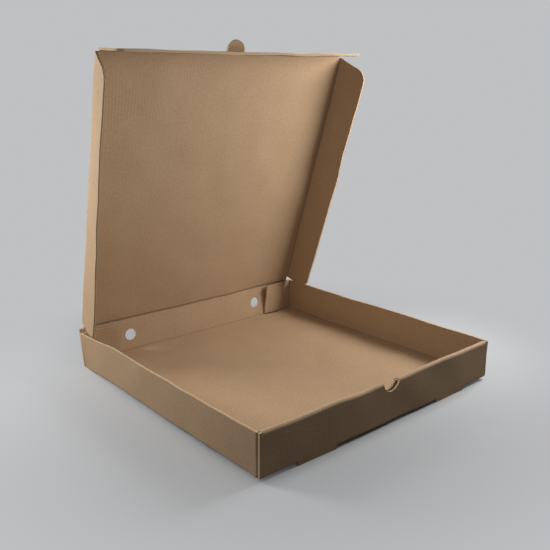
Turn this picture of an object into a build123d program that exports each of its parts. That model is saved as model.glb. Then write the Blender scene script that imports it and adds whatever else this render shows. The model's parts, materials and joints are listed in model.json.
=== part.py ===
from build123d import *
import os
from math import cos, radians, sin, sqrt, tan

# Pizza box of corrugated board, folded from one blank, with its lid standing open.
# Origin at the middle of the footprint, on the surface the box stands on.
# X runs left to right, Y runs from the front to the hinged back, Z is up.
# All lengths are in millimetres and all angles in degrees.

# Board and creases
board = 2.0
fold_radius = 0.4
layer_gap = 0.25
fold_gap = 0.3

# Tray
tray_width = 305.0
tray_depth = 311.0
wall_height = 40.5
front_corner_flap = 42.0
rear_corner_flap = 45.0
corner_flap_round = 6.0

# Feet, the strips of wall that stay below the base where the lock slots are cut
foot_drop = 3.0
foot_round = 1.0
front_foot_length = 43.5
front_foot_offset = 90.5
rear_foot_length = 22.0
rear_ear_inset = 1.5
slot_clearance = 0.4
tab_clearance = 1.0

# Thumb notch in the front wall and vent holes in the back wall
notch_radius = 10.2
vent_diameter = 13.5
vent_offset = 91.5
vent_height = 20.3

# Lid and its tuck flaps
lid_open = 72.0
lid_clearance = 0.4
side_flap_height = 36.0
side_flap_splay = 1.5
side_flap_clearance = 0.4
side_flap_rear_slant = 12.0
side_flap_front_slant = 6.0
side_flap_rear_round = 5.0
side_flap_front_round = 11.0
front_flap_height = 31.5
front_flap_splay = 18.0
front_flap_clearance = 0.8
front_flap_taper = 6.0
front_flap_round = 6.0
flap_end_clearance = 1.0
thumb_tab_radius = 10.3
thumb_tab_neck = 2.5
thumb_tab_gap = 0.5

# Layers of the tray, each at the middle of its board
half_width = tray_width / 2
half_depth = tray_depth / 2
layer_pitch = board + layer_gap
bend = fold_radius + board / 2
fold_outside = fold_radius + board
front_panel_y = board / 2 - half_depth
front_corner_y = front_panel_y + layer_pitch
inner_panel_y = front_corner_y + layer_pitch
back_panel_y = half_depth - board / 2
rear_corner_y = back_panel_y - layer_pitch
side_panel_x = half_width - board / 2
corner_bend_x = side_panel_x - bend - layer_gap
inner_panel_half = corner_bend_x - layer_gap
side_straight_half = half_depth - board - layer_gap - fold_outside

# Levels of the tray
base_middle = foot_drop + board / 2
base_top = foot_drop + board
panel_foot = base_top + fold_radius
wall_top = foot_drop + wall_height
corner_flap_top = wall_top - layer_pitch

# The hinge crease runs along the top of the back wall, just above the other walls
hinge_y = back_panel_y
hinge_z = wall_top + lid_clearance + board / 2
back_wall_top = hinge_z - board / 2 - fold_gap

# The lid is narrow enough for the splayed side flaps to drop inside the walls
side_flap_reach = side_flap_height * sin(radians(side_flap_splay))
lid_half = half_width - board - side_flap_clearance - board / 2 - side_flap_reach
panel_half = lid_half - board / 2 - fold_gap

# The lid is short enough for the splayed front flap to swing down behind the front wall
swing = hinge_y - inner_panel_y - board - front_flap_clearance
front_flap_drop = front_flap_height * cos(radians(front_flap_splay))
front_flap_reach = front_flap_height * sin(radians(front_flap_splay))
lid_length = sqrt(swing**2 - front_flap_drop**2) - front_flap_reach
panel_length = lid_length - board / 2 - fold_gap
thumb_tab_round = lid_length + thumb_tab_neck
thumb_opening_radius = thumb_tab_radius + thumb_tab_gap

# Ends and free corners of the lid's flaps
side_flap_start = 1.5 * board + layer_gap + flap_end_clearance
side_flap_end = lid_length - board - flap_end_clearance
side_flap_tip_start = side_flap_start + side_flap_height * tan(radians(side_flap_rear_slant))
side_flap_tip_end = side_flap_end - side_flap_height * tan(radians(side_flap_front_slant))
front_flap_half = lid_half - board - flap_end_clearance
front_flap_tip_half = front_flap_half - front_flap_height * tan(radians(front_flap_taper))

# Lock slots at the front take the tabs of the inner panel, those at the rear the ears of the corner flaps
front_flap_end_x = half_width - front_corner_flap
rear_flap_end_x = half_width - rear_corner_flap
rear_foot_offset = rear_flap_end_x + rear_ear_inset - tab_clearance + rear_foot_length / 2
front_slot_depth = inner_panel_y - front_panel_y + slot_clearance
rear_slot_depth = back_panel_y - rear_corner_y + slot_clearance
lock_height = panel_foot + board - foot_drop

# Middle lines of the folded walls, seen from the side of the box
front_crease = [(front_panel_y + 2 * bend, base_middle), (front_panel_y, base_middle)]
front_roll = [
    (front_panel_y, wall_top - board / 2),
    (inner_panel_y, wall_top - board / 2),
    (inner_panel_y, panel_foot),
]
back_crease = [(back_panel_y - 2 * bend, base_middle), (back_panel_y, base_middle)]

with BuildPart() as tray:
    # Right half first, starting with the base panel between the creases
    with BuildSketch(Plane.XY.offset(foot_drop)):
        Rectangle(half_width - fold_outside, tray_depth - 2 * fold_outside, align=(Align.MIN, Align.CENTER))
    extrude(amount=board)

    # Front wall rolled over to its inner panel, its outer panel alone at the corner, and the back wall
    for middle_line, start_x, end_x in (
        (front_crease + front_roll, 0, inner_panel_half),
        (front_crease + [(front_panel_y, wall_top)], inner_panel_half, half_width),
        (back_crease + [(back_panel_y, back_wall_top)], 0, half_width),
    ):
        with BuildSketch(Plane.YZ.offset(start_x)):
            with BuildLine():
                FilletPolyline(*middle_line, radius=bend)
            trace(line_width=board)
        extrude(amount=end_x - start_x)

    # Side wall, creased up from the base
    with BuildSketch(Plane.XZ):
        with BuildLine():
            FilletPolyline(
                (side_panel_x - 2 * bend, base_middle),
                (side_panel_x, base_middle),
                (side_panel_x, wall_top),
                radius=bend,
            )
        trace(line_width=board)
    extrude(amount=side_straight_half, both=True)

    # Bends at the two ends of the side wall, where the corner flaps turn in
    with BuildSketch(Plane.XY.offset(panel_foot)):
        with BuildLine():
            FilletPolyline(
                (corner_bend_x, front_corner_y),
                (side_panel_x, front_corner_y),
                (side_panel_x, rear_corner_y),
                (corner_bend_x, rear_corner_y),
                radius=bend,
            )
        trace(line_width=board)
    extrude(amount=wall_top - panel_foot)

    # Corner flaps: the front one inside the rolled wall, the rear one against the back wall
    for flap_y, flap_end_x in ((front_corner_y, front_flap_end_x), (rear_corner_y, rear_flap_end_x)):
        with BuildSketch(Plane.XZ.offset(-flap_y)) as corner_flap:
            with Locations((flap_end_x, panel_foot)):
                Rectangle(
                    corner_bend_x + layer_gap - flap_end_x,
                    corner_flap_top - panel_foot,
                    align=(Align.MIN, Align.MIN),
                )
            free_end = corner_flap.vertices().group_by(Axis.X)[0]
            fillet(free_end.sort_by(Axis.Y)[-1], corner_flap_round)
        extrude(amount=board / 2, both=True)

    # Lock slots through the base and its creases
    with BuildSketch(Plane.XY.offset(foot_drop)):
        with Locations((front_foot_offset, front_panel_y + board / 2)):
            Rectangle(front_foot_length, front_slot_depth, align=(Align.CENTER, Align.MIN))
        with Locations((rear_foot_offset, back_panel_y - board / 2)):
            Rectangle(rear_foot_length, rear_slot_depth, align=(Align.CENTER, Align.MAX))
    extrude(amount=panel_foot - foot_drop, mode=Mode.SUBTRACT)

    # Feet beside the slots, in line with the front and back walls
    for foot_x, foot_y, foot_length in (
        (front_foot_offset, front_panel_y, front_foot_length),
        (rear_foot_offset, back_panel_y, rear_foot_length),
    ):
        with BuildSketch(Plane.XZ.offset(-foot_y)) as foot:
            with Locations((foot_x, 0)):
                Rectangle(foot_length, foot_drop + fold_outside, align=(Align.CENTER, Align.MIN))
            fillet(foot.vertices().group_by(Axis.Y)[0], foot_round)
        extrude(amount=board / 2, both=True)

    # Lock tab of the inner front panel and lock ear of the rear corner flap, each down in its slot
    for lock_x, lock_y, slot_length in (
        (front_foot_offset, inner_panel_y, front_foot_length),
        (rear_foot_offset, rear_corner_y, rear_foot_length),
    ):
        with BuildSketch(Plane.XZ.offset(-lock_y)):
            with Locations((lock_x, foot_drop)):
                Rectangle(slot_length - 2 * tab_clearance, lock_height, align=(Align.CENTER, Align.MIN))
        extrude(amount=board / 2, both=True)

    # Vent hole through the back wall
    with BuildSketch(Plane.XZ.offset(-back_panel_y)):
        with Locations((vent_offset, foot_drop + vent_height)):
            Circle(vent_diameter / 2)
    extrude(amount=board, both=True, mode=Mode.SUBTRACT)

    mirror(about=Plane.YZ)

    # Thumb notch through both layers of the front wall
    with BuildSketch(Plane.XZ.offset(-front_corner_y)):
        with Locations((0, wall_top)):
            Circle(notch_radius)
    extrude(amount=layer_pitch + board, both=True, mode=Mode.SUBTRACT)
tray.part.label = "tray"

# Plane of the open lid: the hinge crease on its X, the front edge on its -Y side, the outside up
lid_plane = Plane(
    origin=(0, hinge_y, hinge_z),
    x_dir=(1, 0, 0),
    z_dir=(0, sin(radians(lid_open)), cos(radians(lid_open))),
)
side_fold = 90 - side_flap_splay
front_fold = 90 - front_flap_splay

with BuildPart() as lid:
    # Top panel, with the thumb tab standing out of its front edge
    with BuildSketch(lid_plane):
        Rectangle(2 * panel_half, panel_length, align=(Align.CENTER, Align.MAX))
        with Locations((0, -panel_length)):
            Rectangle(2 * thumb_tab_radius, thumb_tab_round - panel_length, align=(Align.CENTER, Align.MAX))
        with Locations((0, -thumb_tab_round)):
            Circle(thumb_tab_radius)
    extrude(amount=board / 2, both=True)
    # Rounded edge that turns on the back wall
    with BuildSketch(Plane(lid_plane.location * Location((-panel_half, 0, 0), (0, 90, 0)))):
        Circle(board / 2)
    extrude(amount=2 * panel_half)
lid.part.label = "lid"

# Tuck flaps on the two sides of the lid, the right one and then its mirror image
side_flaps = []
for side in (1, -1):
    flap_plane = Plane(lid_plane.location * Location((side * lid_half, 0, 0), (0, side * side_fold, 0)))
    with BuildPart() as side_flap:
        with BuildSketch(flap_plane) as flap_outline:
            with BuildLine():
                Polyline(
                    (0, -side_flap_start),
                    (side * side_flap_height, -side_flap_tip_start),
                    (side * side_flap_height, -side_flap_tip_end),
                    (0, -side_flap_end),
                    close=True,
                )
            make_face()
            rear_tip = flap_outline.vertices().sort_by_distance((side * side_flap_height, -side_flap_tip_start))
            fillet(rear_tip[0], side_flap_rear_round)
            front_tip = flap_outline.vertices().sort_by_distance((side * side_flap_height, -side_flap_tip_end))
            fillet(front_tip[0], side_flap_front_round)
        extrude(amount=board / 2, both=True)
        # Rounded edge that turns on the lid
        with BuildSketch(Plane(flap_plane.location * Location((0, -side_flap_start, 0), (90, 0, 0)))):
            Circle(board / 2)
        extrude(amount=side_flap_end - side_flap_start)
    side_flaps.append(side_flap)
lid_right_flap, lid_left_flap = side_flaps
lid_right_flap.part.label = "lid_right_flap"
lid_left_flap.part.label = "lid_left_flap"

front_flap_plane = Plane(lid_plane.location * Location((0, -lid_length, 0), (front_fold, 0, 0)))
with BuildPart() as lid_front_flap:
    with BuildSketch(front_flap_plane) as front_outline:
        with BuildLine():
            Polyline(
                (-front_flap_half, 0),
                (front_flap_half, 0),
                (front_flap_tip_half, -front_flap_height),
                (-front_flap_tip_half, -front_flap_height),
                close=True,
            )
        make_face()
        fillet(front_outline.vertices().group_by(Axis.Y)[0], front_flap_round)
    extrude(amount=board / 2, both=True)
    # Rounded edge that turns on the lid
    with BuildSketch(Plane(front_flap_plane.location * Location((-front_flap_half, 0, 0), (0, 90, 0)))):
        Circle(board / 2)
    extrude(amount=2 * front_flap_half)
    # Round-ended opening that the thumb tab was cut from
    with BuildSketch(front_flap_plane):
        with Locations((0, board)):
            Rectangle(2 * thumb_opening_radius, board + thumb_tab_neck, align=(Align.CENTER, Align.MAX))
        with Locations((0, -thumb_tab_neck)):
            Circle(thumb_opening_radius)
    extrude(amount=board, both=True, mode=Mode.SUBTRACT)
lid_front_flap.part.label = "lid_front_flap"

os.makedirs("parts", exist_ok=True)
export_step(tray.part, "parts/tray.step")
export_step(lid.part, "parts/lid.step")
export_step(lid_left_flap.part, "parts/lid_left_flap.step")
export_step(lid_right_flap.part, "parts/lid_right_flap.step")
export_step(lid_front_flap.part, "parts/lid_front_flap.step")
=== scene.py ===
import json
import math

import bpy
from mathutils import Matrix, Vector

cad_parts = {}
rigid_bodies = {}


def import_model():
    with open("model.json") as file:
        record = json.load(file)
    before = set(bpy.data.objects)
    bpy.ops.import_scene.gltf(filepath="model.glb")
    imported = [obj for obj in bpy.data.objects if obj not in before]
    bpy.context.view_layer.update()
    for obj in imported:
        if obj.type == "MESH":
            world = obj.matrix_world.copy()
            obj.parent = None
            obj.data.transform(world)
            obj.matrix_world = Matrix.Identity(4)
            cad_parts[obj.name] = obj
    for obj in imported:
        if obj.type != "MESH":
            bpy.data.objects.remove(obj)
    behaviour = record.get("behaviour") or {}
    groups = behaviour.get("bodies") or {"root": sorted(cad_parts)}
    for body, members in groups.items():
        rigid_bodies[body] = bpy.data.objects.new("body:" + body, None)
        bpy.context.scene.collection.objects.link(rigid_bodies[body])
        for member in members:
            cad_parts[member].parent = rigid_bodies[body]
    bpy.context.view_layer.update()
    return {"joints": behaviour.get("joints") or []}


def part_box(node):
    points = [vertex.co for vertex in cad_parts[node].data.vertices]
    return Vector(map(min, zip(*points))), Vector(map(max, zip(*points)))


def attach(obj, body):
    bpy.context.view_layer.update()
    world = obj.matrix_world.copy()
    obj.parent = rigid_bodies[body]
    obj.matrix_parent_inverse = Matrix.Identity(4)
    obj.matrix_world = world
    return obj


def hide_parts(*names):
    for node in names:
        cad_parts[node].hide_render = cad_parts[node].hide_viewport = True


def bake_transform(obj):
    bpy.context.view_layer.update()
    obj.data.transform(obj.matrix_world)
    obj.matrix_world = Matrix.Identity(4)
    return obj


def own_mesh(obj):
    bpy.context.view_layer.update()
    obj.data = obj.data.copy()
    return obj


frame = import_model()

bl_info = {
    "name": "Corrugated Pizza Box",
    "version": (1, 0, 0),
    "blender": (4, 5, 0),
    "location": "View3D > Sidebar > Pizza Box",
    "description": "Cuts an open pizza box's blanks from corrugated board, folds them up and lights them",
    "category": "Add Mesh",
}

MM = 0.001
TINY = 1e-6
SAME_PLACE = 10 * TINY
QUARTER_TURN = math.pi / 2
ROUND_STEPS = 6
HOLE_STEPS = 48
NEARLY_ALL = 0.999
SMOOTH_ANGLE = math.radians(35)
SENSOR_WIDTH = 36.0
BLANK_UV = "blank"
SHELL_GROUP = "shell"
# The crease attribute marks the arcs of the folds; the liner paints shade along it on the inside of each fold
CREASE = "crease"
DEPTH = "depth"
EDGE_SLOT = 1

# Kinks in the front wall's rolled edge: place across the box, rise
FRONT_KINKS = (
    (-104 * MM, -0.7 * MM),
    (-66 * MM, 0.8 * MM),
    (-34 * MM, -0.6 * MM),
    (52 * MM, -0.7 * MM),
    (84 * MM, 0.6 * MM),
)
# Bows of the side walls: place, step, reach
WALL_BOWS = (
    ((151.5 * MM, 15 * MM, 42 * MM), (1.5 * MM, 0, 0), 75 * MM),
    ((-151.5 * MM, -115 * MM, 22 * MM), (-1.2 * MM, 0, 0), 75 * MM),
    ((151.5 * MM, 130 * MM, 43 * MM), (0, 0, 0.5 * MM), 48 * MM),
)
# Lamps: place, target and size in metres, power in watts
SOFTBOXES = {
    "right_softbox": ((0.32, -0.15, 0.29), (0.05, 0.10, 0.18), 0.20, 1.85),
    "left_rear_softbox": ((-0.40, 0.36, 0.30), (-0.15, 0.10, 0.18), 0.20, 2.1),
    "left_softbox": ((-0.70, 0.10, 0.30), (-0.15, 0.05, 0.15), 0.40, 0.5),
    "front_softbox": ((-0.13, -0.14, 0.26), (0.10, 0.05, 0.04), 0.15, 0.18),
}

joints = {joint["name"]: joint for joint in frame["joints"]}
tray_low, tray_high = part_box("tray")
hinge = Vector(joints["lid_hinge"]["pos_m"])
front_crease = Vector(joints["front_flap_crease"]["pos_m"])
lid_half = joints["right_flap_crease"]["pos_m"][0]
lid_up = -Vector(joints["right_flap_crease"]["axis"])
lid_length = (front_crease - hinge).length
lid_lean = QUARTER_TURN - math.radians(joints["lid_hinge"]["range_deg"][1])
side_fold = -math.radians(joints["right_flap_crease"]["range_deg"][0])
front_fold = -math.radians(joints["front_flap_crease"]["range_deg"][0])


def length(name, description, default):
    """A length property in metres."""
    return bpy.props.FloatProperty(
        name=name, description=description, default=default, unit="LENGTH", precision=4)


def colour(name, description, default):
    """A linear colour property."""
    return bpy.props.FloatVectorProperty(
        name=name, description=description, default=default, size=3, subtype="COLOR", min=0.0, max=1.0)


def angle(name, description, degrees):
    """An angle property, given in degrees."""
    return bpy.props.FloatProperty(
        name=name, description=description, default=math.radians(degrees), subtype="ANGLE")


def angle_pair(name, description, degrees):
    """A pair of angles, given in degrees."""
    return bpy.props.FloatVectorProperty(
        name=name, description=description, default=[math.radians(a) for a in degrees],
        size=2, unit="ROTATION")


def place_vector(name, description, default):
    """A place or a step in metres."""
    return bpy.props.FloatVectorProperty(
        name=name, description=description, default=default, size=3, subtype="TRANSLATION", unit="LENGTH")


class BoardSettings(bpy.types.PropertyGroup):
    """Sizes and colours of the corrugated board."""

    thickness: length("Thickness", "Thickness of the board", 2.0 * MM)
    bend: length("Bend radius", "Radius of a fold at the middle of the board", 1.4 * MM)
    bend_steps: bpy.props.IntProperty(
        name="Bend steps", description="Facets round a right-angled fold", default=4, min=2)
    layer_gap: length("Layer gap", "Air between boards that lie against each other", 0.25 * MM)
    slit: length("Slit", "Width of a knife cut through the board", 0.3 * MM)
    cell: length("Cell", "Largest cell of the board's mesh", 8.0 * MM)
    crease_margin: length("Crease margin", "Board beside a fold that the crease has marked", 0.7 * MM)
    flute_pitch: length("Flute pitch", "Distance from one flute to the next", 3.4 * MM)
    wave: length("Unevenness", "How far the board wanders from flat", 2.2 * MM)
    wave_size: length("Unevenness size", "Distance over which the board wanders", 110.0 * MM)
    ripple: length("Ripple", "Height of the short waves in the board", 1.3 * MM)
    ripple_size: length("Ripple size", "Length of the short waves in the board", 34.0 * MM)
    liner: colour("Liner", "Brown of the paper liner", (0.455, 0.312, 0.190))
    liner_dark: colour("Liner mottle", "Darker brown of the liner's mottling", (0.405, 0.270, 0.158))
    # This dark brown is the dark fibres' colour, and also painted shade: the flutes' troughs and the inside
    # of each fold are darkened towards it
    dark_fibre_and_shade: colour("Dark fibre", "Colour of the dark fibres", (0.235, 0.145, 0.080))
    fleck_light: colour("Light fibre", "Colour of the pale fibres", (0.62, 0.46, 0.30))
    cut: colour("Cut edge", "Pale brown of the cut paper", (0.68, 0.51, 0.335))
    hollow: colour("Flute hollow", "Shaded brown between the flutes of a cut edge", (0.36, 0.235, 0.135))


class TraySettings(bpy.types.PropertyGroup):
    """Sizes of the tray's blank."""

    foot_drop: length("Foot drop", "Height of the base above the standing surface", 3.0 * MM)
    lid_clearance: length("Lid clearance", "Gap between the walls and the closed lid", 0.4 * MM)
    front_foot_offset: length("Front foot offset", "Middle of a front foot from the box's middle", 90.5 * MM)
    front_foot_length: length("Front foot length", "Length of a front foot", 43.5 * MM)
    rear_foot_offset: length("Rear foot offset", "Middle of a rear foot from the box's middle", 119.0 * MM)
    rear_foot_length: length("Rear foot length", "Length of a rear foot", 22.0 * MM)
    slot_play: length("Slot play", "Room in a base slot behind the foot", 1.3 * MM)
    tab_margin: length("Tab margin", "How much narrower a lock tab is than its foot, at each end", 1.0 * MM)
    front_corner_flap: length("Front corner flap", "Reach of a front corner flap from the side", 42.0 * MM)
    rear_corner_flap: length("Rear corner flap", "Reach of a rear corner flap from the side", 45.0 * MM)
    corner_round: length("Corner round", "Radius of a corner flap's free corner", 6.0 * MM)
    vent_radius: length("Vent radius", "Radius of a vent in the back wall", 6.75 * MM)
    vent_offset: length("Vent offset", "Middle of a vent from the box's middle", 91.5 * MM)
    vent_height: length("Vent height", "Height of a vent's middle", 23.3 * MM)
    notch_radius: length("Notch radius", "Radius of the thumb notch", 10.2 * MM)
    roll_slope: angle("Roll slope", "How much the front wall's rolled-over strip falls to the inside", 26.0)
    roll_play: length("Roll play", "Room between the rolled-over strip and the flaps below it", 1.2 * MM)
    corner_push: place_vector(
        "Corner push", "How far the rear left corner's foot is pushed in", (1.5 * MM, -2.5 * MM, -1.3 * MM))
    corner_lean: place_vector(
        "Corner lean", "How far the left wall's rear end leans at its top", (-1.5 * MM, -2.5 * MM, -3.3 * MM))
    push_reach: length("Push reach", "How far along the board the corner's push is felt", 42.0 * MM)
    lean_reach: length("Lean reach", "How far along the board the wall's lean is felt", 75.0 * MM)
    left_flap_lift: length("Left flap lift", "How far the left rear flap stands off the wall", 7.0 * MM)
    right_flap_lift: length("Right flap lift", "How far the right rear flap stands off the wall", 5.0 * MM)
    flap_lift_size: length("Flap lift size", "Reach of a corner flap's lift", 38.0 * MM)
    kink_size: length("Kink size", "Reach of a kink in the front wall's rolled edge", 24.0 * MM)


class LidSettings(bpy.types.PropertyGroup):
    """Sizes of the lid's blank and its tuck flaps."""

    crease_strip: length("Crease strip", "Board on each side of a crease that bends with it", 3.0 * MM)
    side_flap_height: length("Side flap height", "From the crease to the flap's free edge", 36.0 * MM)
    left_flap_start: length("Left flap start", "From the hinge to the left flap's rear end", 6.8 * MM)
    right_flap_start: length("Right flap start", "From the hinge to the right flap's rear end", 4.7 * MM)
    side_flap_stop: length("Side flap stop", "From the front crease back to the flap's front end", 2.2 * MM)
    left_flap_square: length("Left square end", "Height of the left flap's square rear end", 22.0 * MM)
    right_flap_square: length("Right square end", "Height of the right flap's square rear end", 16.0 * MM)
    side_flap_rear: length("Side flap rear", "From the hinge to the rear end of the free edge", 11.0 * MM)
    side_flap_front_slant: length("Front slant", "How much the flap's front end slants in", 6.0 * MM)
    side_flap_rear_round: length("Rear round", "Radius of the flap's free rear corner", 5.0 * MM)
    side_flap_front_round: length("Front round", "Radius of the flap's free front corner", 11.0 * MM)
    left_splay: angle_pair("Left splay", "Lean of the left flap at its rear and at its front", (8.0, 17.0))
    right_splay: angle_pair("Right splay", "Lean of the right flap at its rear and at its front", (3.0, 24.0))
    most_splay: angle("Most splay", "Lean at which a side flap no longer gives way", 14.5)
    tuck_slant: angle("Tuck slant", "Slant of the way in which the flaps yield as they tuck in", 25.0)
    tuck_keep: bpy.props.FloatProperty(
        name="Tuck keep", description="Share of the splay that the lid leaves at its longer limit",
        default=0.34, subtype="FACTOR")
    front_flap_height: length("Front flap height", "From the crease to the flap's free edge", 34.5 * MM)
    front_flap_slant: length("Front flap slant", "How much the front flap's ends slant in", 0.4 * MM)
    front_flap_round: length("Front flap round", "Radius of the front flap's free corners", 6.0 * MM)
    front_flap_droop: angle_pair(
        "Front flap droop", "How far the front flap hangs in, at its left and at its right", (4.0, 1.5))
    tab_radius: length("Thumb tab radius", "Radius of the thumb tab's round end", 10.3 * MM)
    tab_neck: length("Thumb tab neck", "Straight part of the thumb tab beyond the crease", 2.5 * MM)


class StageSettings(bpy.types.PropertyGroup):
    """Floor, light and camera."""

    floor: colour("Floor", "Colour of the floor as the camera sees it", (0.54, 0.55, 0.56))
    floor_bounce: colour("Floor bounce", "Colour of the light that the floor throws back", (0.12, 0.12, 0.12))
    backdrop: colour("Backdrop", "Colour behind the floor", (0.52, 0.53, 0.54))
    floor_size: length("Floor size", "Side of the floor", 8.0)
    fade_start: length("Fade start", "Where the floor begins to fade into the backdrop", 0.15)
    fade_end: length("Fade end", "Where the floor has faded into the backdrop", 0.38)
    camera_place: place_vector("Camera place", "Where the camera stands", (-0.4364, -0.5070, 0.2919))
    camera_turn: angle("Camera turn", "Turn of the camera from straight ahead to the right", 40.16)
    camera_tilt: angle("Camera tilt", "Tilt of the camera below the horizon", 20.08)
    camera_roll: angle("Camera roll", "Turn of the camera about its line of sight", -0.23)
    lens: bpy.props.FloatProperty(
        name="Lens", description="Focal length on a 36 mm sensor", default=44.2, unit="CAMERA")
    shift: bpy.props.FloatVectorProperty(
        name="Shift", description="Shift of the lens, as a share of the image",
        default=(0.006, 0.102), size=2)
    world: bpy.props.FloatProperty(
        name="World", description="Strength of the even light from all round", default=0.11)


def lone(piece):
    """Make a piece the only selected object, and the active one."""
    bpy.ops.object.select_all(action="DESELECT")
    piece.select_set(True)
    bpy.context.view_layer.objects.active = piece


def add_sheet(name, low, high, height):
    """Add a flat sheet from its low corner to its high one, and go into edit mode."""
    bpy.ops.object.select_all(action="DESELECT")
    middle = [(a + b) / 2 for a, b in zip(low, high)]
    bpy.ops.mesh.primitive_plane_add(size=1.0, location=(middle[0], middle[1], height))
    sheet = bpy.context.object
    sheet.name = name
    sheet.data.name = name
    sheet.scale = (high[0] - low[0], high[1] - low[1], 1.0)
    bpy.ops.object.transform_apply(location=True, rotation=False, scale=True)
    bpy.ops.object.mode_set(mode="EDIT")
    return sheet


def pick(sheet, kind, chosen):
    """Select some of a mesh's vertices or faces, and nothing else, in edit mode."""
    bpy.ops.object.mode_set(mode="OBJECT")
    mesh = sheet.data
    for layer in (mesh.vertices, mesh.edges, mesh.polygons):
        layer.foreach_set("select", [False] * len(layer))
    layer = mesh.vertices if kind == "VERT" else mesh.polygons
    layer.foreach_set("select", chosen)
    bpy.context.tool_settings.mesh_select_mode = (kind == "VERT", False, kind == "FACE")
    bpy.ops.object.mode_set(mode="EDIT")


def cut_lines(axis, places):
    """Cut the sheet in edit mode along straight lines across one axis."""
    across = Vector((0, 0, 0))
    across[axis] = 1.0
    for place in places:
        bpy.ops.mesh.select_all(action="SELECT")
        bpy.ops.mesh.bisect(plane_co=across * place, plane_no=across, threshold=TINY)


def lines_between(places, cell):
    """Even lines between neighbouring places, no further apart than a cell."""
    ordered = sorted(set(places))
    lines = []
    for low, high in zip(ordered, ordered[1:]):
        steps = math.ceil((high - low) / cell - TINY)
        lines += [low + (high - low) * step / steps for step in range(1, steps)]
    return lines


def trim(sheet, is_board):
    """Delete the cells that the outline leaves out."""
    bpy.ops.object.mode_set(mode="OBJECT")
    waste = [not is_board(face.center.x, face.center.y) for face in sheet.data.polygons]
    pick(sheet, "FACE", waste)
    bpy.ops.mesh.delete(type="FACE")


def pick_corner(sheet, place):
    """Select the sheet's vertex at a flat place."""
    bpy.ops.object.mode_set(mode="OBJECT")
    target = Vector(place)
    pick(sheet, "VERT", [(v.co.xy - target).length < SAME_PLACE for v in sheet.data.vertices])


def move_corner(sheet, place, step):
    """Move the sheet's vertex at a flat place."""
    pick_corner(sheet, place)
    bpy.ops.transform.translate(value=(step[0], step[1], 0.0))


def round_corner(sheet, place, radius):
    """Round the sheet's free corner at a flat place."""
    pick_corner(sheet, place)
    bpy.ops.mesh.bevel(offset=radius, segments=ROUND_STEPS, affect="VERTICES")


def lay_out(sheet, along):
    """Write the sheet's flat places to its UV map, and give them back."""
    bpy.ops.object.mode_set(mode="OBJECT")
    mesh = sheet.data
    for layer in list(mesh.uv_layers):
        mesh.uv_layers.remove(layer)
    layer = mesh.uv_layers.new(name=BLANK_UV)
    for loop, corner in zip(mesh.loops, layer.data):
        place = mesh.vertices[loop.vertex_index].co
        corner.uv = (place.x, along(place.y))
    mesh.attributes.new(CREASE, "FLOAT", "POINT")
    return [v.co.copy() for v in mesh.vertices]


def bend_lines(board, start, turn=QUARTER_TURN):
    """Lines across the board at the facets of a bend, and where its crease mark ends on each side."""
    steps = max(2, round(board.bend_steps * turn / QUARTER_TURN))
    chord = board.bend * turn / steps
    lines = [start + chord * step for step in range(steps + 1)]
    return [lines[0] - board.crease_margin] + lines + [lines[-1] + board.crease_margin]


def fold(sheet, flat, board, side, start, turn, moves):
    """Fold up what lies beyond a line, round a bend that begins there.

    side is the flat direction that the fold reaches in, and moves tells which points go along.
    """
    lines = bend_lines(board, start, abs(turn))[1:-1]
    side = Vector((side[0], side[1], 0.0))
    axis = "Y" if side.x else "X"
    upward = side.x - side.y
    bpy.ops.object.mode_set(mode="OBJECT")
    crease = sheet.data.attributes[CREASE]
    for index, place in enumerate(flat):
        beyond = [moves(place.x, place.y, line) for line in (lines[0] - TINY, lines[-1] + TINY)]
        if beyond == [True, False]:
            crease.data[index].value = 1.0
    for line in reversed(lines):
        share = turn / (len(lines) - 1) / (2 if line in (lines[0], lines[-1]) else 1)
        chosen = [moves(place.x, place.y, line + TINY) for place in flat]
        pick(sheet, "VERT", chosen)
        centre = side * line
        centre.z = flat[0].z
        bpy.ops.transform.rotate(
            value=upward * share, orient_axis=axis, orient_type="GLOBAL", center_override=centre)


def nudge(sheet, place, step, reach):
    """Pull the board at a place, with the board round it following."""
    bpy.ops.object.mode_set(mode="OBJECT")
    target = Vector(place)
    nearest = min(sheet.data.vertices, key=lambda v: (v.co - target).length).index
    pick(sheet, "VERT", [v.index == nearest for v in sheet.data.vertices])
    bpy.ops.transform.translate(
        value=step, use_proportional_edit=True, use_proportional_connected=True,
        proportional_edit_falloff="SMOOTH", proportional_size=reach)


def apply_modifier(piece, modifier):
    """Apply a modifier of the active piece."""
    lone(piece)
    bpy.ops.object.modifier_apply(modifier=modifier.name)


def noise_field(name, size):
    """A soft cloud texture that pushes the board about over a given distance."""
    field = bpy.data.textures.get(name) or bpy.data.textures.new(name, type="CLOUDS")
    field.cloud_type = "COLOR"
    field.noise_type = "SOFT_NOISE"
    field.noise_scale = size
    field.noise_depth = 0
    return field


def thicken(sheet, board, inside_up):
    """Let the sheet wander from flat and give it its thickness, cut edges and materials.

    inside_up tells whether the flat sheet lay with the box's inside upwards.
    """
    bpy.ops.object.mode_set(mode="OBJECT")
    for name, height, size in (
            ("board_wave", board.wave, board.wave_size),
            ("board_ripple", board.ripple, board.ripple_size)):
        wander = sheet.modifiers.new(name, "DISPLACE")
        wander.texture = noise_field(name, size)
        wander.texture_coords = "GLOBAL"
        wander.direction = "RGB_TO_XYZ"
        wander.strength = height
        wander.mid_level = 0.5
        apply_modifier(sheet, wander)
    sheet.data.materials.clear()
    sheet.data.materials.append(kraft_liner(board))
    sheet.data.materials.append(cut_edge(board))
    sheet.vertex_groups.new(name=SHELL_GROUP)
    solid = sheet.modifiers.new("board", "SOLIDIFY")
    solid.thickness = board.thickness
    solid.offset = 0.0
    solid.use_even_offset = True
    solid.use_quality_normals = True
    solid.material_offset_rim = EDGE_SLOT
    solid.shell_vertex_group = SHELL_GROUP
    apply_modifier(sheet, solid)
    note_depth(sheet, inside_up)


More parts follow.
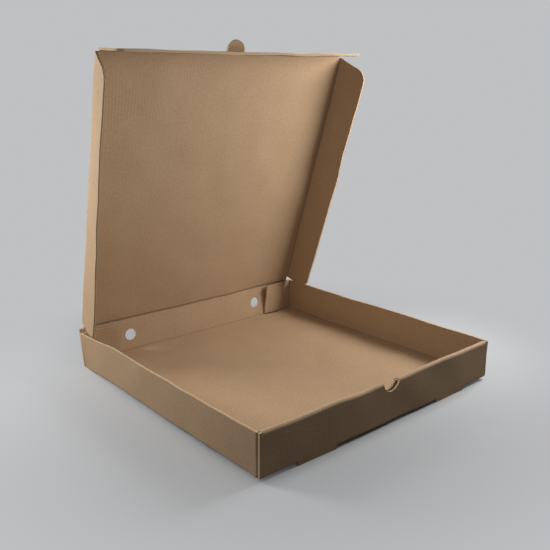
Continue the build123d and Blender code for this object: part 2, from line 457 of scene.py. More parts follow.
def note_depth(piece, inside_up):
    """Write how deep in the board each vertex lies, 0 on the box's outside and 1 on its inside."""
    mesh = piece.data
    depth = mesh.attributes.new(DEPTH, "FLOAT", "POINT")
    for vertex in mesh.vertices:
        lower = max([group.weight for group in vertex.groups], default=0.0)
        depth.data[vertex.index].value = 1.0 - lower if inside_up else lower
    piece.vertex_groups.clear()


def punch(sheet, place, radius):
    """Punch a round hole through a sheet that still lies flat."""
    bpy.ops.object.mode_set(mode="OBJECT")
    bpy.ops.object.select_all(action="DESELECT")
    bpy.ops.mesh.primitive_cylinder_add(vertices=HOLE_STEPS, radius=radius, depth=radius, location=place)
    cutter = bpy.context.object
    hole = sheet.modifiers.new("hole", "BOOLEAN")
    hole.operation = "DIFFERENCE"
    hole.solver = "EXACT"
    hole.object = cutter
    apply_modifier(sheet, hole)
    bpy.data.objects.remove(cutter)
    corners = sheet.data.vertices
    plug = [any(abs(corners[index].co.z - place[2]) > TINY for index in face.vertices)
            for face in sheet.data.polygons]
    if any(plug):
        pick(sheet, "FACE", plug)
        bpy.ops.mesh.delete(type="FACE")
        bpy.ops.object.mode_set(mode="OBJECT")


def stand_level(piece, reach):
    """Press the feet flat on the floor: whatever ends less than a reach above it, or below it."""
    bpy.ops.object.mode_set(mode="OBJECT")
    lone(piece)
    pick(piece, "VERT", [v.co.z < reach for v in piece.data.vertices])
    bpy.ops.transform.resize(value=(1, 1, 0), orient_type="GLOBAL", center_override=(0, 0, 0))
    bpy.ops.object.mode_set(mode="OBJECT")


def finish_board(piece, *nodes):
    """Smooth a finished board and let it stand for its solids."""
    lone(piece)
    bpy.ops.object.shade_smooth_by_angle(angle=SMOOTH_ANGLE)
    if nodes:
        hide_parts(*nodes)


def place_on_lid(sheet):
    """Turn a sheet that lies flat, hinge at the origin, into the lid's plane."""
    bpy.ops.object.mode_set(mode="OBJECT")
    lone(sheet)
    across = Vector((1, 0, 0))
    down = -lid_up
    out = across.cross(down)
    turned = Matrix((across, down, out)).transposed().to_4x4()
    sheet.matrix_world = Matrix.Translation(hinge) @ turned
    bpy.ops.object.transform_apply(location=True, rotation=True, scale=True)


def node_group(name, inputs, outputs):
    """A new shader node group with its sockets; gives it, its input node and its output node."""
    group = bpy.data.node_groups.new(name, "ShaderNodeTree")
    for label, kind, default in inputs:
        socket = group.interface.new_socket(name=label, in_out="INPUT", socket_type=kind)
        if default is not None:
            socket.default_value = default
    for label, kind in outputs:
        group.interface.new_socket(name=label, in_out="OUTPUT", socket_type=kind)
    return group, group.nodes.new("NodeGroupInput"), group.nodes.new("NodeGroupOutput")


def math_node(tree, operation, first, second=None, third=None):
    """A Math node fed with sockets or numbers; gives its output."""
    node = tree.nodes.new("ShaderNodeMath")
    node.operation = operation
    for socket, value in zip(node.inputs, (first, second, third)):
        if value is None:
            continue
        if isinstance(value, (int, float)):
            socket.default_value = value
        else:
            tree.links.new(value, socket)
    return node.outputs[0]


def noise_node(tree, vector, scale, detail, stretch=(1.0, 1.0, 1.0)):
    """A noise texture on stretched coordinates; gives its value."""
    mapping = tree.nodes.new("ShaderNodeMapping")
    mapping.inputs["Scale"].default_value = stretch
    tree.links.new(vector, mapping.inputs["Vector"])
    noise = tree.nodes.new("ShaderNodeTexNoise")
    noise.inputs["Scale"].default_value = scale
    noise.inputs["Detail"].default_value = detail
    noise.inputs["Roughness"].default_value = 0.55
    tree.links.new(mapping.outputs["Vector"], noise.inputs["Vector"])
    return noise.outputs["Fac"]


def ramp(tree, value, low, high, bottom=0.0, top=1.0):
    """Turn a value between low and high into one between bottom and top."""
    node = tree.nodes.new("ShaderNodeMapRange")
    node.interpolation_type = "SMOOTHSTEP"
    for label, number in (("From Min", low), ("From Max", high), ("To Min", bottom), ("To Max", top)):
        node.inputs[label].default_value = number
    tree.links.new(value, node.inputs["Value"])
    return node.outputs["Result"]


def mix_colour(tree, share, first, second):
    """Mix two colours, each a socket or a linear colour; gives the mixed colour."""
    node = tree.nodes.new("ShaderNodeMix")
    node.data_type = "RGBA"
    tree.links.new(share, node.inputs["Factor"])
    for socket, value in ((node.inputs["A"], first), (node.inputs["B"], second)):
        if isinstance(value, bpy.types.NodeSocket):
            tree.links.new(value, socket)
        else:
            socket.default_value = (*value, 1.0)
    return node.outputs["Result"]


def tint(tree, tone, over, share, *masks):
    """Lay a colour over a tone, at most by a share, where all the masks are; gives the mixed colour."""
    for mask in masks:
        share = math_node(tree, "MULTIPLY", mask, share)
    return mix_colour(tree, share, tone, over)


def paper_fibre_group():
    """Mottling, fibre flecks and tooth of brown paper."""
    name = "paper_fibre"
    if name in bpy.data.node_groups:
        return bpy.data.node_groups[name]
    group, source, sink = node_group(
        name,
        [("Place", "NodeSocketVector", None)],
        [("Mottle", "NodeSocketFloat"), ("Dark Fibre", "NodeSocketFloat"),
         ("Light Fibre", "NodeSocketFloat"), ("Tooth", "NodeSocketFloat")])
    place = source.outputs["Place"]
    clouds = noise_node(group, place, scale=38.0, detail=5.0)
    grain = noise_node(group, place, scale=420.0, detail=4.0)
    mottle = math_node(group, "ADD", math_node(group, "MULTIPLY", clouds, 0.25),
                       math_node(group, "MULTIPLY", grain, 0.75))
    group.links.new(ramp(group, mottle, low=0.34, high=0.66), sink.inputs["Mottle"])
    along = noise_node(group, place, scale=900.0, detail=2.0, stretch=(0.35, 1.6, 1.0))
    across = noise_node(group, place, scale=760.0, detail=2.0, stretch=(1.5, 0.45, 1.0))
    group.links.new(ramp(group, along, low=0.63, high=0.74), sink.inputs["Dark Fibre"])
    group.links.new(ramp(group, across, low=0.62, high=0.74), sink.inputs["Light Fibre"])
    group.links.new(noise_node(group, place, scale=2400.0, detail=3.0), sink.inputs["Tooth"])
    return group


def flute_group():
    """Ridges that the flutes press through the liner."""
    name = "flutes"
    if name in bpy.data.node_groups:
        return bpy.data.node_groups[name]
    group, source, sink = node_group(
        name,
        [("Place", "NodeSocketVector", None), ("Pitch", "NodeSocketFloat", 3.4 * MM)],
        [("Ridge", "NodeSocketFloat"), ("Wave", "NodeSocketFloat")])
    split = group.nodes.new("ShaderNodeSeparateXYZ")
    group.links.new(source.outputs["Place"], split.inputs["Vector"])
    drift = noise_node(group, source.outputs["Place"], scale=9.0, detail=1.0)
    wobble = math_node(group, "MULTIPLY", drift, 1.2 * MM)
    across = math_node(group, "ADD", split.outputs["X"], wobble)
    turns = math_node(group, "DIVIDE", across, source.outputs["Pitch"])
    wave = math_node(group, "SINE", math_node(group, "MULTIPLY", turns, 2 * math.pi))
    group.links.new(wave, sink.inputs["Wave"])
    patches = noise_node(group, source.outputs["Place"], scale=26.0, detail=2.0)
    strength = ramp(group, patches, low=0.35, high=0.7, bottom=0.35, top=1.0)
    group.links.new(math_node(group, "MULTIPLY", wave, strength), sink.inputs["Ridge"])
    return group


def place_group(tree, group, **values):
    """Put a node group in a material."""
    node = tree.nodes.new("ShaderNodeGroup")
    node.node_tree = group
    for label, value in values.items():
        if isinstance(value, bpy.types.NodeSocket):
            tree.links.new(value, node.inputs[label])
        else:
            node.inputs[label].default_value = value
    return node


def point_value(tree, name):
    """A value that the mesh holds at its points."""
    node = tree.nodes.new("ShaderNodeAttribute")
    node.attribute_name = name
    return node.outputs["Fac"]


def start_material(name):
    """A new material; gives it, its tree, its shader and its flat places."""
    material = bpy.data.materials.new(name)
    material.use_nodes = True
    tree = material.node_tree
    shader = tree.nodes["Principled BSDF"]
    shader.inputs["Specular IOR Level"].default_value = 0.22
    place = tree.nodes.new("ShaderNodeUVMap")
    place.uv_map = BLANK_UV
    return material, tree, shader, place.outputs["UV"]


def add_bump(tree, shader, height, strength, distance):
    """Let a height feed the shader's normal."""
    bump = tree.nodes.new("ShaderNodeBump")
    bump.inputs["Strength"].default_value = strength
    bump.inputs["Distance"].default_value = distance
    tree.links.new(height, bump.inputs["Height"])
    tree.links.new(bump.outputs["Normal"], shader.inputs["Normal"])


def kraft_liner(board):
    """Uncoated brown paper over flutes."""
    name = "kraft_liner"
    if name in bpy.data.materials:
        return bpy.data.materials[name]
    material, tree, shader, place = start_material(name)
    fibre = place_group(tree, paper_fibre_group(), Place=place)
    flutes = place_group(tree, flute_group(), Place=place, Pitch=board.flute_pitch)
    tone = mix_colour(tree, fibre.outputs["Mottle"], board.liner_dark, board.liner)
    # Painted shade: the liner is darkened in the troughs between the flutes' ridges, as their relief would be
    # shaded
    shade = ramp(tree, flutes.outputs["Ridge"], low=-1.0, high=1.0, bottom=0.16, top=0.0)
    tone = mix_colour(tree, shade, tone, board.dark_fibre_and_shade)
    tone = tint(tree, tone, board.dark_fibre_and_shade, 0.45, fibre.outputs["Dark Fibre"])
    tone = tint(tree, tone, board.fleck_light, 0.35, fibre.outputs["Light Fibre"])
    crease = point_value(tree, CREASE)
    inside = point_value(tree, DEPTH)
    outside = math_node(tree, "SUBTRACT", 1.0, inside)
    # Painted shade: the inside of each fold is darkened towards the dark brown, in place of the shade in the
    # fold's valley. The outside of each fold is made a little paler.
    tone = tint(tree, tone, board.dark_fibre_and_shade, 0.75, crease, inside)
    tone = tint(tree, tone, board.fleck_light, 0.2, crease, outside)
    tree.links.new(tone, shader.inputs["Base Color"])
    roughness = ramp(tree, fibre.outputs["Mottle"], low=0.0, high=1.0, bottom=0.86, top=0.74)
    tree.links.new(roughness, shader.inputs["Roughness"])
    ridge = math_node(tree, "MULTIPLY", flutes.outputs["Ridge"], 0.5)
    tooth = math_node(tree, "MULTIPLY", fibre.outputs["Tooth"], 0.5)
    relief = math_node(tree, "ADD", ridge, tooth)
    add_bump(tree, shader, relief, strength=0.6, distance=0.06 * MM)
    return material


def cut_edge(board):
    """Cut board: two paper liners with the flute's wave between them."""
    name = "cut_edge"
    if name in bpy.data.materials:
        return bpy.data.materials[name]
    material, tree, shader, place = start_material(name)
    fibre = place_group(tree, paper_fibre_group(), Place=place)
    flutes = place_group(tree, flute_group(), Place=place, Pitch=board.flute_pitch)
    level = point_value(tree, DEPTH)
    from_middle = math_node(tree, "ABSOLUTE", math_node(tree, "SUBTRACT", level, 0.5))
    liners = ramp(tree, from_middle, low=0.34, high=0.40)
    crest = math_node(tree, "MULTIPLY_ADD", flutes.outputs["Wave"], 0.32, 0.5)
    off_wave = math_node(tree, "ABSOLUTE", math_node(tree, "SUBTRACT", level, crest))
    medium = ramp(tree, off_wave, low=0.10, high=0.20, bottom=1.0, top=0.0)
    paper = math_node(tree, "MAXIMUM", liners, medium)
    tone = mix_colour(tree, paper, board.hollow, board.cut)
    tone = tint(tree, tone, board.dark_fibre_and_shade, 0.4, fibre.outputs["Dark Fibre"])
    tree.links.new(tone, shader.inputs["Base Color"])
    roughness = ramp(tree, fibre.outputs["Mottle"], low=0.0, high=1.0, bottom=0.95, top=0.85)
    tree.links.new(roughness, shader.inputs["Roughness"])
    add_bump(tree, shader, paper, strength=0.8, distance=0.25 * MM)
    return material


def span(middle, width):
    """Where something of a width begins and ends about its middle."""
    return middle - width / 2, middle + width / 2


class TrayBlank:
    """Fold lines, cuts and outline of the tray's flat blank, measured from the middle of its base.

    The blank is the same to the left and to the right, so places across it count to both sides. Places
    along it count to the front and to the back.
    """

    def __init__(self, context):
        board = context.scene.pizza_box_board
        tray = context.scene.pizza_box_tray
        strip = context.scene.pizza_box_lid.crease_strip
        half_board = board.thickness / 2
        bend = board.bend
        arc = bend * QUARTER_TURN
        self.board = board
        self.tray = tray
        self.layer = board.thickness + board.layer_gap

        # Heights in the folded tray
        self.base_height = tray.foot_drop + half_board
        self.wall_low = self.base_height + bend
        self.wall_top = hinge.z - half_board - tray.lid_clearance
        roll_low = self.wall_top - half_board - bend
        under_roll = self.wall_top - self.layer * (1 + math.tan(tray.roll_slope)) - tray.roll_play

        # Side walls, across the blank
        self.side_start = tray_high.x - half_board - bend
        side_wall = self.side_start + arc
        self.side_top = side_wall + self.wall_top - self.wall_low
        self.flap_low = side_wall + board.slit
        self.flap_top = side_wall + under_roll - self.wall_low

        # Front and back walls, along the blank
        self.end_start = tray_high.y - half_board - bend
        self.end_wall = self.end_start + arc
        self.end_top = self.end_wall + self.wall_top - self.wall_low
        self.foot_end = self.end_wall - self.wall_low
        self.slot_end = self.foot_end - tray.slot_play
        self.under_lid = self.end_wall + hinge.z - strip - self.wall_low
        self.end_x = tray_high.x - board.slit
        self.lid_end_x = lid_half - bend + board.slit

        # Rolled-over strip, inner panel and lock tabs of the front wall
        self.roll_turn = QUARTER_TURN + tray.roll_slope
        self.inner_turn = QUARTER_TURN - tray.roll_slope
        self.roll_start = self.end_wall + roll_low - self.wall_low
        roll_strip = (2 * self.layer - 2 * bend) / math.cos(tray.roll_slope)
        self.inner_start = self.roll_start + bend * self.roll_turn + roll_strip
        inner_wall = self.inner_start + bend * self.inner_turn
        self.inner_end = inner_wall + roll_low - roll_strip * math.sin(tray.roll_slope) - self.wall_low
        self.inner_top = self.inner_end - self.wall_top + self.wall_low
        self.tab_end = self.inner_end + self.wall_low - tray.foot_drop
        self.roll_end_x = tray_high.x - board.thickness - bend - board.layer_gap

        # Corner flaps, along the blank
        self.corner_start = tray_high.y - self.layer - half_board - bend
        self.corner_wall = self.corner_start + arc
        self.front_flap_end = self.corner_wall + self.side_start - (tray_high.x - tray.front_corner_flap)
        self.rear_flap_end = self.corner_wall + self.side_start - (tray_high.x - tray.rear_corner_flap)

        # Feet and lock tabs, across the blank
        self.front_foot = span(tray.front_foot_offset, tray.front_foot_length)
        self.rear_foot = span(tray.rear_foot_offset, tray.rear_foot_length)
        self.tab = (self.front_foot[0] + tray.tab_margin, self.front_foot[1] - tray.tab_margin)

    def in_foot(self, x, y, spare=0.0):
        """Whether a flat place lies in a foot."""
        low, high = self.front_foot if y < 0 else self.rear_foot
        across = low - spare < abs(x) < high + spare
        return across and self.foot_end - TINY < abs(y) < self.end_wall + spare

    def in_slot(self, x, y):
        """Whether a flat place lies where a slot of the base and its foot are cut."""
        slit = self.board.slit
        low, high = self.front_foot if y < 0 else self.rear_foot
        return low - slit < abs(x) < high + slit and self.slot_end < abs(y) < self.end_wall

    def is_board(self, x, y):
        """Whether a flat place lies on the blank."""
        across = abs(x)
        along = abs(y)
        if self.in_slot(x, y):
            return self.in_foot(x, y)
        if across < self.side_start and along < self.end_start:
            return True
        if along < self.corner_start:
            return across < self.side_top
        if across > self.flap_low:
            return self.on_corner_flap(across, along, y < 0)
        if along < self.end_start or across > self.end_x:
            return False
        if y > 0:
            return along < self.under_lid or (across > self.lid_end_x and along < self.end_top)
        return self.on_front_wall(across, along)

    def on_corner_flap(self, across, along, at_front):
        """Whether a place beyond the side wall's foot lies on a corner flap or the bend that carries it."""
        if along < self.corner_wall:
            return across < self.side_top
        if at_front:
            return across < self.flap_top and along < self.front_flap_end
        return across < self.side_top and along < self.rear_flap_end

    def on_front_wall(self, across, along):
        """Whether a place beyond the base's front edge lies on the front wall or what is folded from it."""
        if across < self.tray.notch_radius and self.end_top < along < self.inner_top:
            return False
        if along < self.roll_start:
            return True
        if across > self.roll_end_x + self.board.slit and along < self.end_top:
            return True
        if across < self.roll_end_x and along < self.inner_end:
            return True
        return self.tab[0] < across < self.tab[1] and along > self.inner_end

    def x_lines(self):
        """Lines that the blank is cut and bent along, across it."""
        slit = self.board.slit
        lines = [self.flap_low, self.flap_top, self.end_x, self.roll_end_x, self.roll_end_x + slit]
        lines += [self.lid_end_x, self.tray.notch_radius]
        lines += bend_lines(self.board, self.side_start)
        for low, high in (self.front_foot, self.rear_foot):
            lines += [low - slit, low, high, high + slit]
        lines += self.tab
        return [x for line in lines for x in (-line, line)]

    def y_lines(self):
        """Lines that the blank is cut and bent along, along it."""
        board = self.board
        ends = bend_lines(board, self.corner_start) + bend_lines(board, self.end_start)
        ends += [self.foot_end, self.slot_end]
        back = ends + [self.under_lid, self.end_top]
        front = ends + [self.front_flap_end, self.inner_end, self.end_top, self.inner_top]
        front += bend_lines(board, self.roll_start, self.roll_turn)
        front += bend_lines(board, self.inner_start, self.inner_turn)
        return back + [-line for line in front]

    def lid_place(self, y):
        """Place along the blank of a height down the lid, measured from the hinge."""
        return self.end_wall + hinge.z - self.wall_low - y


class BOX_OT_tray(bpy.types.Operator):
    """Cut the tray's blank, punch its vents and thumb notch, and fold it up."""

    bl_idname = "pizza_box.tray"
    bl_label = "Tray"

    def execute(self, context):
        blank = TrayBlank(context)
        sheet = cut_tray(blank)
        flat = lay_out(sheet, lambda y: y)
        fold_tray(sheet, flat, blank)
        slacken_tray(sheet, blank)
        thicken(sheet, blank.board, True)
        stand_level(sheet, blank.tray.foot_drop / 2)
        finish_board(sheet, "tray")
        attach(sheet, "tray")
        return {"FINISHED"}


def cut_tray(blank):
    """Cut the tray's blank out of a sheet, and punch its vents and both layers of its thumb notch."""
    tray = blank.tray
    low = (-blank.side_top, -blank.tab_end)
    high = (blank.side_top, blank.rear_flap_end)
    x_lines = blank.x_lines()
    y_lines = blank.y_lines()
    sheet = add_sheet("tray_board", low, high, blank.base_height)
    cut_lines(0, x_lines)
    cut_lines(1, y_lines)
    trim(sheet, blank.is_board)
    for sign in (-1, 1):
        round_corner(sheet, (sign * blank.side_top, blank.rear_flap_end), tray.corner_round)
    bpy.ops.object.mode_set(mode="EDIT")
    cut_lines(0, lines_between(x_lines + [low[0], high[0]], blank.board.cell))
    cut_lines(1, lines_between(y_lines + [low[1], high[1]], blank.board.cell))
    vent_y = blank.end_wall + tray.vent_height - blank.wall_low
    for sign in (-1, 1):
        punch(sheet, (sign * tray.vent_offset, vent_y, blank.base_height), tray.vent_radius)
    for line in (blank.end_top, blank.inner_top):
        punch(sheet, (0, -line, blank.base_height), tray.notch_radius)
    return sheet


def fold_tray(sheet, flat, blank):
    """Fold in the corner flaps, fold up the side walls, roll the front wall over and fold up both ends."""
    board = blank.board
    flap_edge = blank.flap_low - TINY
    for x_sign in (-1, 1):
        for y_sign in (-1, 1):
            fold(sheet, flat, board, (0, y_sign), blank.corner_start, QUARTER_TURN,
                 lambda x, y, line: x * x_sign > flap_edge and y * y_sign > line)
        fold(sheet, flat, board, (x_sign, 0), blank.side_start, QUARTER_TURN,
             lambda x, y, line: x * x_sign > line
             and (abs(y) < blank.corner_start + TINY or x * x_sign > flap_edge))
    for start, turn in ((blank.inner_start, blank.inner_turn), (blank.roll_start, blank.roll_turn)):
        fold(sheet, flat, board, (0, -1), start, turn,
             lambda x, y, line: -y > line and abs(x) < blank.roll_end_x + TINY)
    for y_sign in (-1, 1):
        fold(sheet, flat, board, (0, y_sign), blank.end_start, QUARTER_TURN,
             lambda x, y, line: abs(x) < blank.end_x + TINY and y * y_sign > 0
             and (y * y_sign > line or blank.in_foot(x, y, TINY)))


def slacken_tray(sheet, blank):
    """Push the rear left corner, the rear corner flaps, the side walls and the rolled edge out of true."""
    board = blank.board
    tray = blank.tray
    half_board = board.thickness / 2
    rear_left = Vector((tray_low.x, blank.corner_start, 0))
    nudge(sheet, rear_left + Vector((0, 0, blank.base_height)), tray.corner_push, tray.push_reach)
    nudge(sheet, rear_left + Vector((0, 0, blank.wall_top)), tray.corner_lean, tray.lean_reach)
    free_end = tray_high.x - tray.rear_corner_flap
    flap_y = tray_high.y - blank.layer - half_board
    right_tip = (free_end, flap_y, blank.wall_top)
    left_tip = (-free_end, flap_y - blank.layer, blank.wall_top)
    nudge(sheet, right_tip, (0, -tray.right_flap_lift, 0), tray.flap_lift_size)
    nudge(sheet, left_tip, (0, -tray.left_flap_lift, 0), tray.flap_lift_size)
    for place, step, reach in WALL_BOWS:
        nudge(sheet, place, step, reach)
    roll_y = tray_low.y + half_board + board.bend
    for x, rise in FRONT_KINKS:
        nudge(sheet, (x, roll_y, blank.wall_top), (0, -rise / 2, rise), tray.kink_size)


class BOX_OT_lid(bpy.types.Operator):
    """Cut the lid's panel with its thumb tab, and bend its rear edge into the back wall."""

    bl_idname = "pizza_box.lid"
    bl_label = "Lid"

    def execute(self, context):
        board = context.scene.pizza_box_board
        lid = context.scene.pizza_box_lid
        strip = lid.crease_strip
        half = lid_half - strip
        panel_end = lid_length - strip
        tab_end = lid_length + lid.tab_neck + lid.tab_radius
        bend_start = board.bend * math.tan(lid_lean / 2)
        ear = lid_half - board.bend
        ear_end = lid.right_flap_start - board.slit
        sheet = add_sheet("lid_board", (-ear, -tab_end), (ear, strip), 0.0)
        cut_lines(0, (-half, -lid.tab_radius, lid.tab_radius, half))
        cut_lines(1, (-panel_end, -ear_end))
        trim(sheet, lambda x, y: -y < ear_end or abs(x) < (half if -y < panel_end else lid.tab_radius))
        tab_round = lid.tab_radius * NEARLY_ALL
        for sign in (-1, 1):
            round_corner(sheet, (sign * lid.tab_radius, -tab_end), tab_round)
        bpy.ops.object.mode_set(mode="EDIT")
        bends = bend_lines(board, -bend_start, lid_lean)
        cut_lines(1, bends)
        cut_lines(0, lines_between([-half, -lid.tab_radius, lid.tab_radius, half], board.cell))
        cut_lines(1, lines_between([-tab_end, -panel_end, -ear_end], board.cell))
        flat = lay_out(sheet, TrayBlank(context).lid_place)
        fold(sheet, flat, board, (0, 1), -bend_start, lid_lean, lambda x, y, line: y > line)
        place_on_lid(sheet)
        thicken(sheet, board, False)
        finish_board(sheet, "lid")
        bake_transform(sheet)
        return {"FINISHED"}


class BOX_OT_side_flaps(bpy.types.Operator):
    """Cut each side tuck flap, fold it at its crease and let it lean out."""

    bl_idname = "pizza_box.side_flaps"
    bl_label = "Side Tuck Flaps"

    def execute(self, context):
        lid = context.scene.pizza_box_lid
        fold_side_flap(
            context, 1, "lid_right_flap", lid.right_flap_start, lid.right_flap_square, lid.right_splay)
        fold_side_flap(
            context, -1, "lid_left_flap", lid.left_flap_start, lid.left_flap_square, lid.left_splay)
        return {"FINISHED"}


def fold_side_flap(context, sign, node, flap_start, square_height, lean):
    """Make the side flap on the right of the lid, or with a negative sign its mirror image on the left."""
    board = context.scene.pizza_box_board
    lid = context.scene.pizza_box_lid
    strip = lid.crease_strip
    square = QUARTER_TURN - side_fold
    set_back = board.bend * math.tan(side_fold / 2)
    bend_start = lid_half - set_back
    bend_end = bend_start + board.bend * side_fold
    tip = bend_end + lid.side_flap_height - set_back
    rear = -flap_start
    front = -(lid_length - lid.side_flap_stop)
    tip_rear = -lid.side_flap_rear
    tip_front = front + lid.side_flap_front_slant
    square_end = bend_end + square_height - set_back
    square_share = (square_end - bend_end) / (tip - bend_end)
    strip_end = bend_end + strip - set_back

    sheet = add_sheet(node + "_crease", (lid_half - strip, front), (tip, rear), 0.0)
    cut_lines(0, (bend_end, square_end))
    move_corner(sheet, (tip, rear), (0, tip_rear - rear))
    move_corner(sheet, (tip, front), (0, tip_front - front))
    move_corner(sheet, (square_end, front), (0, (tip_front - front) * square_share))
    round_corner(sheet, (tip, tip_rear), lid.side_flap_rear_round)
    round_corner(sheet, (tip, tip_front), lid.side_flap_front_round)
    bpy.ops.object.mode_set(mode="EDIT")
    cut_lines(0, bend_lines(board, bend_start, side_fold) + [strip_end])
    cut_lines(0, lines_between([strip_end, square_end, tip], board.cell))
    cut_lines(1, lines_between([front, rear], board.cell))
    flat = lay_out(sheet, TrayBlank(context).lid_place)
    fold(sheet, flat, board, (1, 0), bend_start, -side_fold, lambda x, y, line: x > line)
    if sign < 0:
        bpy.ops.mesh.select_all(action="SELECT")
        bpy.ops.transform.mirror(constraint_axis=(True, False, False), center_override=(0, 0, 0))
        bpy.ops.mesh.flip_normals()
    give_way(sheet, flat, 1, (sign * lid_half, 0, 0), lambda place: place.x > bend_start + TINY,
             lambda y: sign * (min(lean[0] - (lean[1] - lean[0]) * y / lid_length, lid.most_splay) - square))

    flap = split_off(sheet, [place.x > strip_end - TINY for place in flat], node + "_board")
    for part in (sheet, flap):
        place_on_lid(part)
        thicken(part, board, False)
    finish_board(sheet)
    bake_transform(sheet)
    finish_board(flap, node)
    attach(flap, node)
    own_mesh(flap)


def give_way(sheet, flat, axis, crease, moves, turn_at):
    """Turn a folded flap about its crease, row by row, as board that has lost its spring does.

    axis is the number of the axis that the crease runs along, moves tells which flat places turn, and turn_at
    gives the turn at a place along the crease.
    """
    rows = sorted({round(place[axis], 6) for place in flat if moves(place)})
    for row in rows:
        bpy.ops.object.mode_set(mode="OBJECT")
        lone(sheet)
        pick(sheet, "VERT", [moves(place) and abs(place[axis] - row) < TINY for place in flat])
        centre = Vector(crease)
        centre[axis] = row
        bpy.ops.transform.rotate(
            value=turn_at(row), orient_axis="XYZ"[axis], orient_type="GLOBAL", center_override=centre)


def split_off(sheet, chosen, name):
    """Split the faces between the chosen vertices off as a piece of their own."""
    pick(sheet, "FACE", [all(chosen[index] for index in face.vertices) for face in sheet.data.polygons])
    others = set(bpy.data.objects)
    bpy.ops.mesh.separate(type="SELECTED")
    bpy.ops.object.mode_set(mode="OBJECT")
    piece = (set(bpy.data.objects) - others).pop()
    piece.name = name
    piece.data.name = name
    return piece


class BOX_OT_front_flap(bpy.types.Operator):
    """Cut the front tuck flap, punch the round end of its thumb opening and fold it at its crease."""

    bl_idname = "pizza_box.front_flap"
    bl_label = "Front Tuck Flap"

    def execute(self, context):
        board = context.scene.pizza_box_board
        lid = context.scene.pizza_box_lid
        strip = lid.crease_strip
        set_back = board.bend * math.tan(front_fold / 2)
        bend_start = lid_length - set_back
        bend_end = bend_start + board.bend * front_fold
        tip = bend_end + lid.front_flap_height - set_back
        half = lid_half - strip
        opening = lid.tab_radius + board.slit
        opening_end = bend_end + lid.tab_neck - set_back
        sheet = add_sheet("lid_front_flap_board", (-half, -tip), (half, strip - lid_length), 0.0)
        cut_lines(0, (-opening, opening))
        cut_lines(1, (-bend_end, -opening_end))
        trim(sheet, lambda x, y: abs(x) > opening or -y > opening_end)
        for sign in (-1, 1):
            move_corner(sheet, (sign * half, -tip), (-sign * lid.front_flap_slant, 0))
            round_corner(sheet, (sign * (half - lid.front_flap_slant), -tip), lid.front_flap_round)
        bpy.ops.object.mode_set(mode="EDIT")
        cut_lines(1, [-line for line in bend_lines(board, bend_start, front_fold)])
        cut_lines(0, lines_between([-half, -opening, opening, half], board.cell))
        cut_lines(1, lines_between([-tip, -opening_end], board.cell))
        punch(sheet, (0, -opening_end, 0), opening)
        flat = lay_out(sheet, TrayBlank(context).lid_place)
        fold(sheet, flat, board, (0, -1), bend_start, -front_fold, lambda x, y, line: -y > line)
        droop = lid.front_flap_droop
        give_way(sheet, flat, 0, (0, -lid_length, 0), lambda place: -place.y > bend_start + TINY,
                 lambda x: -(droop[0] + (droop[1] - droop[0]) * (x + half) / (2 * half)))
        place_on_lid(sheet)
        thicken(sheet, board, False)
        finish_board(sheet, "lid_front_flap")
        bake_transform(sheet)
        return {"FINISHED"}


class BOX_OT_stage(bpy.types.Operator):
    """Lay the floor and set up the light and the camera."""

    bl_idname = "pizza_box.stage"
    bl_label = "Stage"

    def execute(self, context):
        stage = context.scene.pizza_box_stage
        bpy.ops.object.select_all(action="DESELECT")
        bpy.ops.mesh.primitive_plane_add(size=stage.floor_size, location=(0, 0, 0))
        floor = context.object
        floor.name = "floor"
        floor.data.materials.append(pale_floor(stage))
        context.scene.world = studio_world(stage)

        for name, (place, target, size, power) in SOFTBOXES.items():
            add_lamp(name, place, target, size, power)

        camera = bpy.data.cameras.new("camera")
        camera.lens = stage.lens
        camera.sensor_width = SENSOR_WIDTH
        camera.shift_x, camera.shift_y = stage.shift
        camera.clip_start = 0.01
        viewer = bpy.data.objects.new("camera", camera)
        context.scene.collection.objects.link(viewer)
        viewer.location = stage.camera_place
        turn = Matrix.Rotation(-stage.camera_turn, 3, "Z")
        tilt = Matrix.Rotation(QUARTER_TURN - stage.camera_tilt, 3, "X")
        roll = Matrix.Rotation(stage.camera_roll, 3, "Z")
        viewer.rotation_euler = (turn @ tilt @ roll).to_euler()
        context.scene.camera = viewer
        context.scene.view_settings.view_transform = "Standard"
        return {"FINISHED"}


def camera_sees(tree):
    """1 where the camera looks straight at the stage, or by a reflection or through glass."""
    path = tree.nodes.new("ShaderNodeLightPath")
    seen = math_node(tree, "ADD", path.outputs["Is Camera Ray"], path.outputs["Is Glossy Ray"])
    return math_node(tree, "MINIMUM", math_node(tree, "ADD", seen, path.outputs["Is Transmission Ray"]), 1.0)


def pale_floor(stage):
    """A pale floor that throws little light back at the box."""
    material = bpy.data.materials.new("pale_floor")
    material.use_nodes = True
    tree = material.node_tree
    shader = tree.nodes["Principled BSDF"]
    shader.inputs["Roughness"].default_value = 0.6
    shader.inputs["Specular IOR Level"].default_value = 0.1
    seen = camera_sees(tree)
    tone = mix_colour(tree, seen, stage.floor_bounce, stage.floor)
    tree.links.new(tone, shader.inputs["Base Color"])
    place = tree.nodes.new("ShaderNodeTexCoord")
    distance = tree.nodes.new("ShaderNodeVectorMath")
    distance.operation = "LENGTH"
    tree.links.new(place.outputs["Object"], distance.inputs[0])
    far = ramp(tree, distance.outputs["Value"], stage.fade_start, stage.fade_end)
    backdrop = tree.nodes.new("ShaderNodeEmission")
    backdrop.inputs["Color"].default_value = (*stage.backdrop, 1.0)
    choice = tree.nodes.new("ShaderNodeMixShader")
    tree.links.new(math_node(tree, "MULTIPLY", far, seen), choice.inputs["Fac"])
    tree.links.new(shader.outputs["BSDF"], choice.inputs[1])
    tree.links.new(backdrop.outputs["Emission"], choice.inputs[2])
    tree.links.new(choice.outputs["Shader"], tree.nodes["Material Output"].inputs["Surface"])
    return material


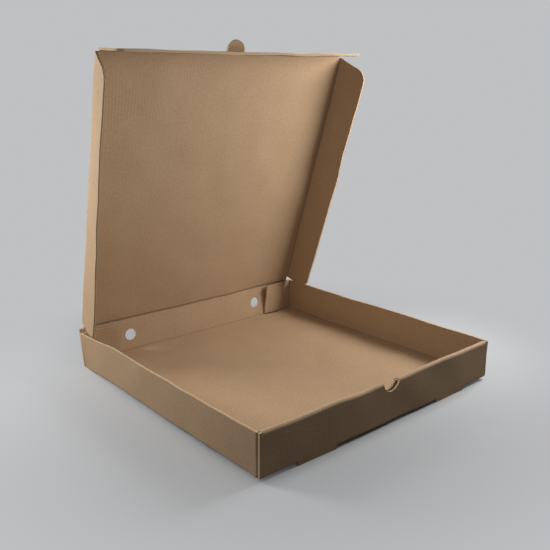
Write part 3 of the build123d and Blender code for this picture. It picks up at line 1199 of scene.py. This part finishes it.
def studio_world(stage):
    """Even light from all round, with a pale backdrop for the camera."""
    world = bpy.data.worlds.new("studio")
    world.use_nodes = True
    tree = world.node_tree
    light = tree.nodes["Background"]
    light.inputs["Color"].default_value = (1.0, 1.0, 1.0, 1.0)
    light.inputs["Strength"].default_value = stage.world
    backdrop = tree.nodes.new("ShaderNodeBackground")
    backdrop.inputs["Color"].default_value = (*stage.backdrop, 1.0)
    choice = tree.nodes.new("ShaderNodeMixShader")
    tree.links.new(camera_sees(tree), choice.inputs["Fac"])
    tree.links.new(light.outputs["Background"], choice.inputs[1])
    tree.links.new(backdrop.outputs["Background"], choice.inputs[2])
    tree.links.new(choice.outputs["Shader"], tree.nodes["World Output"].inputs["Surface"])
    return world


def add_lamp(name, place, target, size, power):
    """Add a soft lamp that points at a target."""
    lamp = bpy.data.lights.new(name, "AREA")
    lamp.size = size
    lamp.energy = power
    holder = bpy.data.objects.new(name, lamp)
    bpy.context.scene.collection.objects.link(holder)
    holder.visible_camera = False
    holder.location = place
    holder.rotation_euler = (Vector(target) - Vector(place)).to_track_quat("-Z", "Y").to_euler()


class BOX_PT_panel(bpy.types.Panel):
    """Lists the steps that build the box."""

    bl_idname = "BOX_PT_panel"
    bl_label = "Pizza Box"
    bl_space_type = "VIEW_3D"
    bl_region_type = "UI"
    bl_category = "Pizza Box"

    def draw(self, context):
        for step in STEPS:
            self.layout.operator(step.bl_idname)


SETTINGS = {
    "pizza_box_board": BoardSettings,
    "pizza_box_tray": TraySettings,
    "pizza_box_lid": LidSettings,
    "pizza_box_stage": StageSettings,
}
STEPS = (BOX_OT_tray, BOX_OT_lid, BOX_OT_side_flaps, BOX_OT_front_flap, BOX_OT_stage)


def register():
    for name, group in SETTINGS.items():
        bpy.utils.register_class(group)
        setattr(bpy.types.Scene, name, bpy.props.PointerProperty(type=group))
    for step in STEPS:
        bpy.utils.register_class(step)
    bpy.utils.register_class(BOX_PT_panel)


def unregister():
    bpy.utils.unregister_class(BOX_PT_panel)
    for step in reversed(STEPS):
        bpy.utils.unregister_class(step)
    for name, group in SETTINGS.items():
        delattr(bpy.types.Scene, name)
        bpy.utils.unregister_class(group)


def main():
    register()
    bpy.ops.pizza_box.tray()
    bpy.ops.pizza_box.lid()
    bpy.ops.pizza_box.side_flaps()
    bpy.ops.pizza_box.front_flap()
    bpy.ops.pizza_box.stage()


if __name__ == "__main__":
    main()
